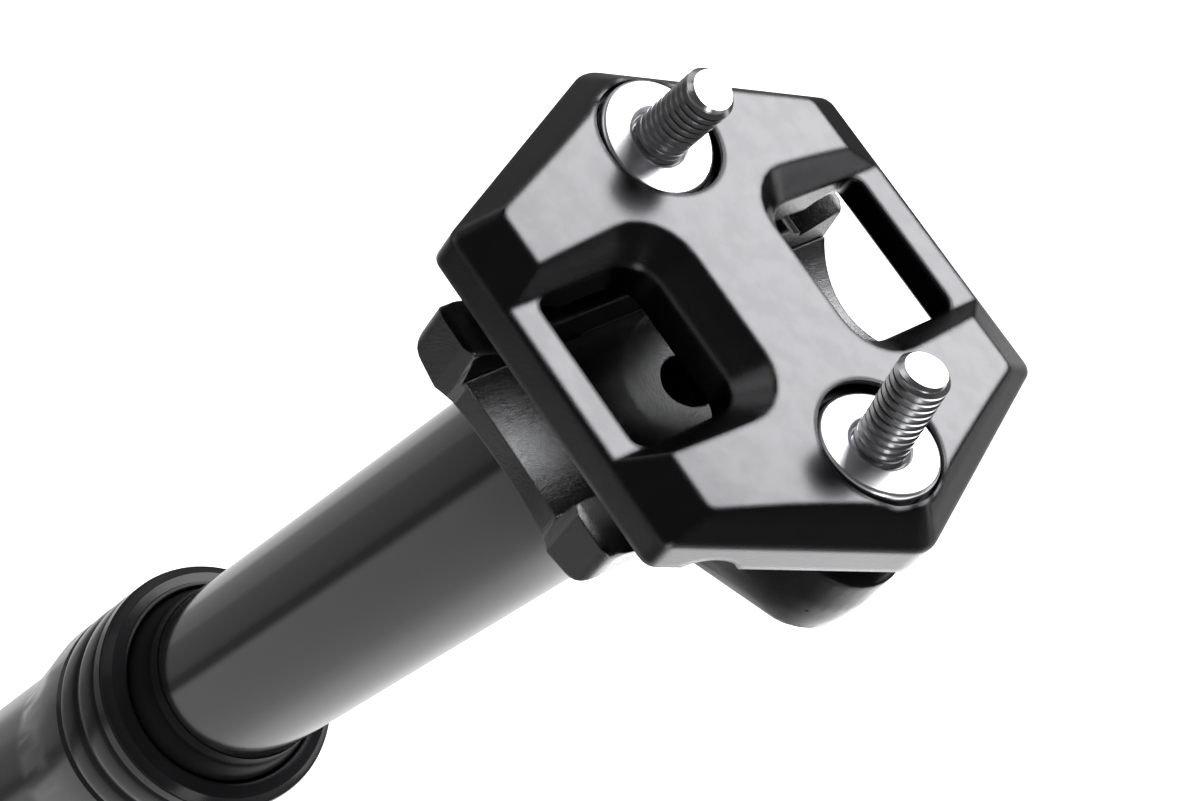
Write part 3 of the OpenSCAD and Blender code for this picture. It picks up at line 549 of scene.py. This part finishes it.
def soften(mesh, inside, longest, steps):
    """Splits the long edges of the picked skin and relaxes its vertices, except along sharp edges."""
    for _ in range(5):
        split = [e for e in mesh.edges if e.calc_length() > longest and all(inside(v) for v in e.verts)]
        if not split:
            break
        bmesh.ops.subdivide_edges(mesh, edges=split, cuts=1)
        bmesh.ops.triangulate(mesh, faces=[f for f in mesh.faces if len(f.verts) > 3])
    free = [v for v in mesh.verts
            if inside(v) and all(e.calc_face_angle(0.0) < radians(EAR_SHARP) for e in v.link_edges)]
    for _ in range(steps):
        moved = [sum((e.other_vert(v).co for e in v.link_edges), Vector()) / len(v.link_edges) for v in free]
        for vertex, to in zip(free, moved):
            vertex.co = vertex.co.lerp(to, 0.5)


SENSOR_WIDTH = 36.0
PHOTO_WIDTH = 1200


def add_camera():
    data = bpy.data.cameras.new("Camera")
    camera = bpy.data.objects.new("Camera", data)
    bpy.context.scene.collection.objects.link(camera)
    data.sensor_fit = "HORIZONTAL"
    data.sensor_width = SENSOR_WIDTH
    data.lens = SENSOR_WIDTH * CAMERA_FOCAL / PHOTO_WIDTH
    data.clip_start = 0.01
    data.clip_end = 20
    camera.matrix_world = Matrix.Translation(CAMERA_AT) @ CAMERA_TURN.to_4x4()
    bpy.context.scene.camera = camera


def painted_floor_reflection(tree):
    """How bright the floor is in reflections, with painted reflection bands that stand in for cards."""
    where = node(tree, "ShaderNodeTexCoord").outputs["Object"]
    turn = node(tree, "ShaderNodeMapping")
    turn.inputs["Rotation"].default_value = (0, 0, -VIEW_BEARING)
    tree.links.new(where, turn.inputs["Vector"])
    split = node(tree, "ShaderNodeSeparateXYZ")
    tree.links.new(turn.outputs[0], split.inputs[0])
    bearing = maths(tree, "ARCTAN2", split.outputs["Y"], split.outputs["X"])
    share = maths(tree, "ADD", maths(tree, "MULTIPLY", bearing, 1 / (2 * pi)), 0.5)
    distance = from_axis(tree, split)

    level = 1.0
    for start, end, fade, shade in PAINTED_REFLECTION_BANDS:
        in_band = maths(tree, "MULTIPLY", ramp(tree, share, start - fade, start + fade),
                      ramp(tree, share, end + fade, end - fade))
        change = maths(tree, "MULTIPLY", in_band, shade - 1)
        level = maths(tree, "MULTIPLY", level, maths(tree, "ADD", change, 1.0))

    # Farther out the floor's reflection gets painted shade up to a bearing of 0.64 and a painted brightening
    # from 0.79 on.
    change = maths(tree, "SUBTRACT", ramp(tree, share, 0.64, 0.79, 0.3, 2.8), 1.0)
    change = maths(tree, "MULTIPLY", ramp(tree, distance, 0.25, 0.34), change)
    level = maths(tree, "MULTIPLY", level, maths(tree, "ADD", change, 1.0))

    # Still farther out a painted falloff darkens its reflection on the side away from the camera.
    away = maths(tree, "MAXIMUM", ramp(tree, share, 0.82, 0.9), ramp(tree, share, 0.12, 0.04))
    dark = maths(tree, "MULTIPLY", away, ramp(tree, distance, 0.4, 0.56, 0.0, 0.7))
    return maths(tree, "MULTIPLY", level, maths(tree, "SUBTRACT", 1.0, dark))


def area(name, at, size, power, aim=(0, 0, 0.12)):
    data = bpy.data.lights.new(name, "AREA")
    data.shape = "RECTANGLE"
    data.size, data.size_y = size
    data.energy = power
    lamp = bpy.data.objects.new(name, data)
    bpy.context.scene.collection.objects.link(lamp)
    lamp.location = at
    lamp.rotation_euler = (Vector(aim) - Vector(at)).to_track_quat("-Z", "Y").to_euler()


def floor_material():
    """A white floor that is brighter to the camera and shows painted reflection bands in reflections."""
    material = bpy.data.materials.new("White floor with painted reflections")
    material.use_nodes = True
    tree = material.node_tree
    shader = tree.nodes["Principled BSDF"]
    shader.inputs["Base Color"].default_value = (0.9, 0.9, 0.9, 1)
    shader.inputs["Roughness"].default_value = 0.8
    shader.inputs["Emission Color"].default_value = (1, 1, 1, 1)
    path = node(tree, "ShaderNodeLightPath")
    lift = maths(tree, "MULTIPLY", path.outputs["Is Camera Ray"], 0.45)
    tree.links.new(lift, shader.inputs["Emission Strength"])
    # In reflections the floor glows with painted reflection bands rather than being lit.
    painted_reflection = node(tree, "ShaderNodeEmission")
    tree.links.new(painted_floor_reflection(tree), painted_reflection.inputs["Strength"])
    either = node(tree, "ShaderNodeMixShader")
    tree.links.new(path.outputs["Is Glossy Ray"], either.inputs["Fac"])
    tree.links.new(shader.outputs[0], either.inputs[1])
    tree.links.new(painted_reflection.outputs[0], either.inputs[2])
    tree.links.new(either.outputs[0], tree.nodes["Material Output"].inputs["Surface"])
    return material


def add_floor():
    mesh = bmesh.new()
    bmesh.ops.create_grid(mesh, x_segments=1, y_segments=1, size=3.0)
    bmesh.ops.translate(mesh, verts=mesh.verts, vec=(0, 0, low("cable_stop").z))
    data = bpy.data.meshes.new("Floor")
    mesh.to_mesh(data)
    mesh.free()
    data.materials.append(floor_material())
    floor = bpy.data.objects.new("Floor", data)
    bpy.context.scene.collection.objects.link(floor)


def make_world():
    """White to the camera; in reflections it darkens upwards and towards the back."""
    world = bpy.data.worlds.new("Studio")
    bpy.context.scene.world = world
    world.use_nodes = True
    tree = world.node_tree
    background = tree.nodes["Background"]
    path = node(tree, "ShaderNodeLightPath")
    split = node(tree, "ShaderNodeSeparateXYZ")
    tree.links.new(node(tree, "ShaderNodeTexCoord").outputs["Generated"], split.inputs[0])
    sky = ramp(tree, split.outputs["Z"], 0.05, 0.6, 0.9, 0.08)
    sky = maths(tree, "MULTIPLY", sky, ramp(tree, split.outputs["Y"], -0.85, -0.35, 0.15, 1.0))
    mix = node(tree, "ShaderNodeMix", data_type="FLOAT")
    tree.links.new(path.outputs["Is Glossy Ray"], mix.inputs["Factor"])
    tree.links.new(ramp(tree, split.outputs["Z"], -0.2, 0.9, 0.7, 0.6), mix.inputs["A"])
    tree.links.new(sky, mix.inputs["B"])
    level = maths(tree, "MAXIMUM", mix.outputs["Result"], path.outputs["Is Camera Ray"])
    tree.links.new(level, background.inputs["Strength"])
    background.inputs["Color"].default_value = (1, 1, 1, 1)


class SEATPOST_OT_studio(bpy.types.Operator):
    """Floor, lamps, world and camera"""

    bl_idname = "seatpost.studio"
    bl_label = "Studio"

    def execute(self, context):
        context.scene.view_settings.view_transform = "Standard"
        add_floor()
        make_world()
        area("Top softbox", (0.30, -0.595, 0.69), (0.52, 0.52), 9.2, aim=(0, 0, 0.17))
        area("Low softbox", (-0.264, -0.428, 0.327), (0.16, 0.2), 0.16, aim=(0.01, -0.017, 0.17))
        area("Left strip", (-0.75, 0.35, 0.35), (0.25, 0.9), 3.0)
        area("Right fill", (0.9, 0.5, 0.5), (0.5, 0.8), 0.9)
        add_camera()
        return {"FINISHED"}


class SEATPOST_OT_finishes(bpy.types.Operator):
    """Finishes for every carried-over solid"""

    bl_idname = "seatpost.finishes"
    bl_label = "Finishes"

    def execute(self, context):
        make_finishes()
        slots = {part["node"]: part["material_slot"] for part in frame["record"]["subparts"]}
        for name, obj in frame["nodes"].items():
            give(obj, slots[name])
        return {"FINISHED"}


class SEATPOST_OT_plate(bpy.types.Operator):
    """The clamp's top plate, with rounded edges"""

    bl_idname = "seatpost.plate"
    bl_label = "Top plate"

    def execute(self, context):
        sizes = context.scene.seatpost_sizes
        rounded_copy("top_plate", "clamp", "plate_black", sizes.plate_edge, sizes.plate_top,
                     above(PLATE_BEVEL_DEPTH))
        return {"FINISHED"}


def short_lived(name, mesh):
    """An object that only lends its mesh to a modifier."""
    bmesh.ops.recalc_face_normals(mesh, faces=mesh.faces)
    data = bpy.data.meshes.new(name)
    mesh.to_mesh(data)
    mesh.free()
    obj = bpy.data.objects.new(name, data)
    bpy.context.scene.collection.objects.link(obj)
    return obj


CUT_MERGE = 1e-7


def relieve_horns(mesh):
    """Slopes the top of each horn down towards the rail's groove."""
    outer = high("lower_cradle").y - HORN_RIM
    body = short_lived("Horns", mesh)
    blocks = []
    for side in (1, -1):
        block = bmesh.new()
        bmesh.ops.create_cube(block, size=1)
        corner = Matrix.Translation((0, side * outer, -BAR_DEPTH))
        lean = Matrix.Rotation(side * HORN_SLOPE, 4, "X")
        middle = Matrix.Translation((0, -side * HORN_WIDTH / 2, BLOCK_HEIGHT / 2))
        size = Matrix.Diagonal((BLOCK_LENGTH, HORN_WIDTH, BLOCK_HEIGHT, 1))
        bmesh.ops.transform(block, matrix=CLAMP @ corner @ lean @ middle @ size, verts=block.verts)
        blocks.append(short_lived("Horn block", block))
        cut = body.modifiers.new("Horn's slope", "BOOLEAN")
        cut.operation = "DIFFERENCE"
        cut.solver = "EXACT"
        cut.object = blocks[-1]
    relieved = bmesh.new()
    relieved.from_object(body, bpy.context.evaluated_depsgraph_get())
    for obj in (body, *blocks):
        data = obj.data
        bpy.data.objects.remove(obj)
        bpy.data.meshes.remove(data)
    bmesh.ops.remove_doubles(relieved, verts=relieved.verts, dist=CUT_MERGE)
    return relieved


class SEATPOST_OT_cradle(bpy.types.Operator):
    """The lower cradle, with its horns sloped"""

    bl_idname = "seatpost.cradle"
    bl_label = "Lower cradle"

    def execute(self, context):
        mesh = relieve_horns(merged_copy("lower_cradle"))
        keep(mesh, "lower_cradle_finished", "clamp", "cradle_black", ["lower_cradle"], 35)
        return {"FINISHED"}


class SEATPOST_OT_head(bpy.types.Operator):
    """The forged head, with its ears smoothed"""

    bl_idname = "seatpost.head"
    bl_label = "Head"

    def execute(self, context):
        edge = context.scene.seatpost_sizes.forged_edge
        mesh = merged_copy("head")
        bmesh.ops.triangulate(mesh, faces=mesh.faces)
        for side in (1, -1):
            soften(mesh, outer_skin(mesh, side), SKIN_EDGE, SKIN_STEPS)
        round_edges(mesh, edge, EAR_SHARP, above(EAR_RIM_DEPTH))
        keep(mesh, "head_finished", "post", "forged_black", ["head"], 40, flat=False)
        return {"FINISHED"}


class SEATPOST_OT_nuts(bpy.types.Operator):
    """The round nuts in the plate's counterbores"""

    bl_idname = "seatpost.nuts"
    bl_label = "Nuts"

    def execute(self, context):
        for end in ("front", "rear"):
            rounded_copy(end + "_nut", end + "_disc", "steel", context.scene.seatpost_sizes.nut_edge)
        return {"FINISHED"}


HEAD_STEPS = 48
WELD = 2e-6
LEVEL = 1e-7
CHAMFER_SLOPE = 0.9
TIP_ROUNDING = 0.00022
TIP_SHARP = 0.3


def add_spun(mesh, outline, steps):
    """Spins an open (radius, height) outline in millimetres that starts and ends on the axis."""
    verts = [mesh.verts.new((r * MM, 0, z * MM)) for r, z in outline]
    edges = [mesh.edges.new(pair) for pair in zip(verts, verts[1:])]
    bmesh.ops.spin(mesh, geom=verts + edges, cent=(0, 0, 0), axis=(0, 0, 1), angle=2 * pi, steps=steps,
                   use_merge=True)


def add_thread(mesh, tip, steps):
    """A helical thread from THREAD_START to the tip's height in millimetres, with a chamfered tip."""
    turns = ceil((tip - THREAD_START) / BOLT_PITCH) + 2
    groove = ((0, 0), (0.13, 0), (0.42, -0.5), (0.58, -0.5), (0.87, 0), (1, 0))
    verts = [
        mesh.verts.new(((BOLT_RADIUS + d * BOLT_PITCH) * MM, 0, (THREAD_START + (z - 1) * BOLT_PITCH) * MM))
        for z, d in groove
    ]
    edges = [mesh.edges.new(pair) for pair in zip(verts, verts[1:])]
    before = set(mesh.verts) - set(verts)
    bmesh.ops.spin(mesh, geom=verts + edges, cent=(0, 0, 0), axis=(0, 0, 1), angle=2 * pi * turns,
                   steps=steps * turns, dvec=(0, 0, BOLT_PITCH * MM / steps))
    bmesh.ops.remove_doubles(mesh, verts=[v for v in mesh.verts if v not in before], dist=WELD)
    for height, outer in ((THREAD_START, False), (tip, True)):
        thread = [v for v in mesh.verts if v not in before]
        edges = {e for v in thread for e in v.link_edges}
        faces = {f for v in thread for f in v.link_faces}
        cut = bmesh.ops.bisect_plane(mesh, geom=thread + list(edges) + list(faces),
                                     plane_co=(0, 0, height * MM), plane_no=(0, 0, 1), clear_outer=outer,
                                     clear_inner=not outer)
        rim = [e for e in cut["geom_cut"] if isinstance(e, bmesh.types.BMEdge)]
        bmesh.ops.edgeloop_fill(mesh, edges=rim)
    for vert in mesh.verts:
        if vert in before:
            continue
        into_chamfer = max(0, vert.co.z / MM - (tip - TIP_CHAMFER))
        limit = (BOLT_RADIUS - into_chamfer * CHAMFER_SLOPE) * MM
        spread = hypot(vert.co.x, vert.co.y)
        if spread > limit:
            vert.co.x *= limit / spread
            vert.co.y *= limit / spread
    rim = [e for e in mesh.edges if all(abs(v.co.z - tip * MM) < LEVEL and v not in before for v in e.verts)
           and len(e.link_faces) == 2 and e.calc_face_angle(0.0) > TIP_SHARP]
    bmesh.ops.bevel(mesh, geom=rim, offset=TIP_ROUNDING, offset_type="OFFSET", segments=2, profile=0.5,
                    affect="EDGES", clamp_overlap=True, material=-1)


def clamp_bolt(name, body, side, steps):
    """A clamp bolt: round head with a hexagon socket, plain shank and rolled thread."""
    mesh = bmesh.new()
    add_spun(mesh, BOLT_OUTLINE, HEAD_STEPS)
    bmesh.ops.remove_doubles(mesh, verts=mesh.verts, dist=WELD)
    for vert in mesh.verts:
        from_socket = hypot(vert.co.x, vert.co.y) / MM - SOCKET_RADIUS
        if vert.co.z / MM < SOCKET_FLOOR + 0.01 and -0.1 < from_socket < 0.3:
            turn = atan2(vert.co.y, vert.co.x) % (pi / 3) - pi / 6
            vert.co.x /= cos(turn)
            vert.co.y /= cos(turn)
    tip = (PIVOT_DROP / cos(BOLT_LEAN) + BOLT_OUT[side]) / MM
    add_thread(mesh, tip, steps)
    bmesh.ops.transform(mesh, matrix=BOLT[side], verts=mesh.verts)
    keep(mesh, name + "_finished", body, "stud_steel", [name], 28)


class SEATPOST_OT_bolts(bpy.types.Operator):
    """The two clamp bolts with their threads"""

    bl_idname = "seatpost.bolts"
    bl_label = "Clamp bolts"

    def execute(self, context):
        steps = context.scene.seatpost_sizes.thread_steps
        clamp_bolt("front_bolt", "front_screw", 1, steps)
        clamp_bolt("rear_bolt", "rear_screw", -1, steps)
        return {"FINISHED"}


class SEATPOST_OT_tubes(bpy.types.Operator):
    """The tube, its collar and the wiper"""

    bl_idname = "seatpost.tubes"
    bl_label = "Tube, collar and wiper"

    def execute(self, context):
        edge = context.scene.seatpost_sizes.turned_edge
        for name, key in (("outer_tube", "tube_black"), ("collar", "collar_black")):
            rounded_copy(name, "outer", key, edge)
        keep(merged_copy("wiper_seal"), "wiper_seal_finished", "outer", "rubber", ["wiper_seal"])
        return {"FINISHED"}


class SEATPOST_OT_release(bpy.types.Operator):
    """The base cap, the cable stop, the release lever and the valve's spring"""

    bl_idname = "seatpost.release"
    bl_label = "Release"

    def execute(self, context):
        edge = context.scene.seatpost_sizes.turned_edge
        rounded_copy("base_cap", "outer", "tube_black", edge)
        rounded_copy("cable_stop", "outer", "bright_alloy", edge)
        rounded_copy("release_lever", "lever", "bright_alloy", edge)
        spring = keep(merged_copy("return_spring"), "return_spring_finished", "outer", "dark_steel",
                      ["return_spring"], 60, flat=False)
        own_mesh(spring)
        return {"FINISHED"}


class SEATPOST_PT_panel(bpy.types.Panel):
    """Lists the seatpost's pieces"""

    bl_idname = "SEATPOST_PT_panel"
    bl_label = "Seatpost"
    bl_space_type = "VIEW_3D"
    bl_region_type = "UI"
    bl_category = "Seatpost"

    def draw(self, context):
        layout = self.layout
        for group in (context.scene.seatpost_sizes, context.scene.seatpost_colours):
            for key in group.bl_rna.properties.keys():
                if key not in ("rna_type", "name"):
                    layout.prop(group, key)
        for operator in OPERATORS:
            layout.operator(operator.bl_idname)


OPERATORS = [SEATPOST_OT_finishes, SEATPOST_OT_plate, SEATPOST_OT_cradle, SEATPOST_OT_head, SEATPOST_OT_nuts,
             SEATPOST_OT_bolts, SEATPOST_OT_tubes, SEATPOST_OT_release, SEATPOST_OT_studio]
CLASSES = [SeatpostSizes, SeatpostColours, *OPERATORS, SEATPOST_PT_panel]


def register():
    for cls in CLASSES:
        bpy.utils.register_class(cls)
    bpy.types.Scene.seatpost_sizes = bpy.props.PointerProperty(type=SeatpostSizes)
    bpy.types.Scene.seatpost_colours = bpy.props.PointerProperty(type=SeatpostColours)


def unregister():
    del bpy.types.Scene.seatpost_colours
    del bpy.types.Scene.seatpost_sizes
    for cls in reversed(CLASSES):
        bpy.utils.unregister_class(cls)


def main():
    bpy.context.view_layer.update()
    register()
    for operator in OPERATORS:
        getattr(bpy.ops.seatpost, operator.bl_idname.split(".")[1])()


if __name__ == "__main__":
    main()
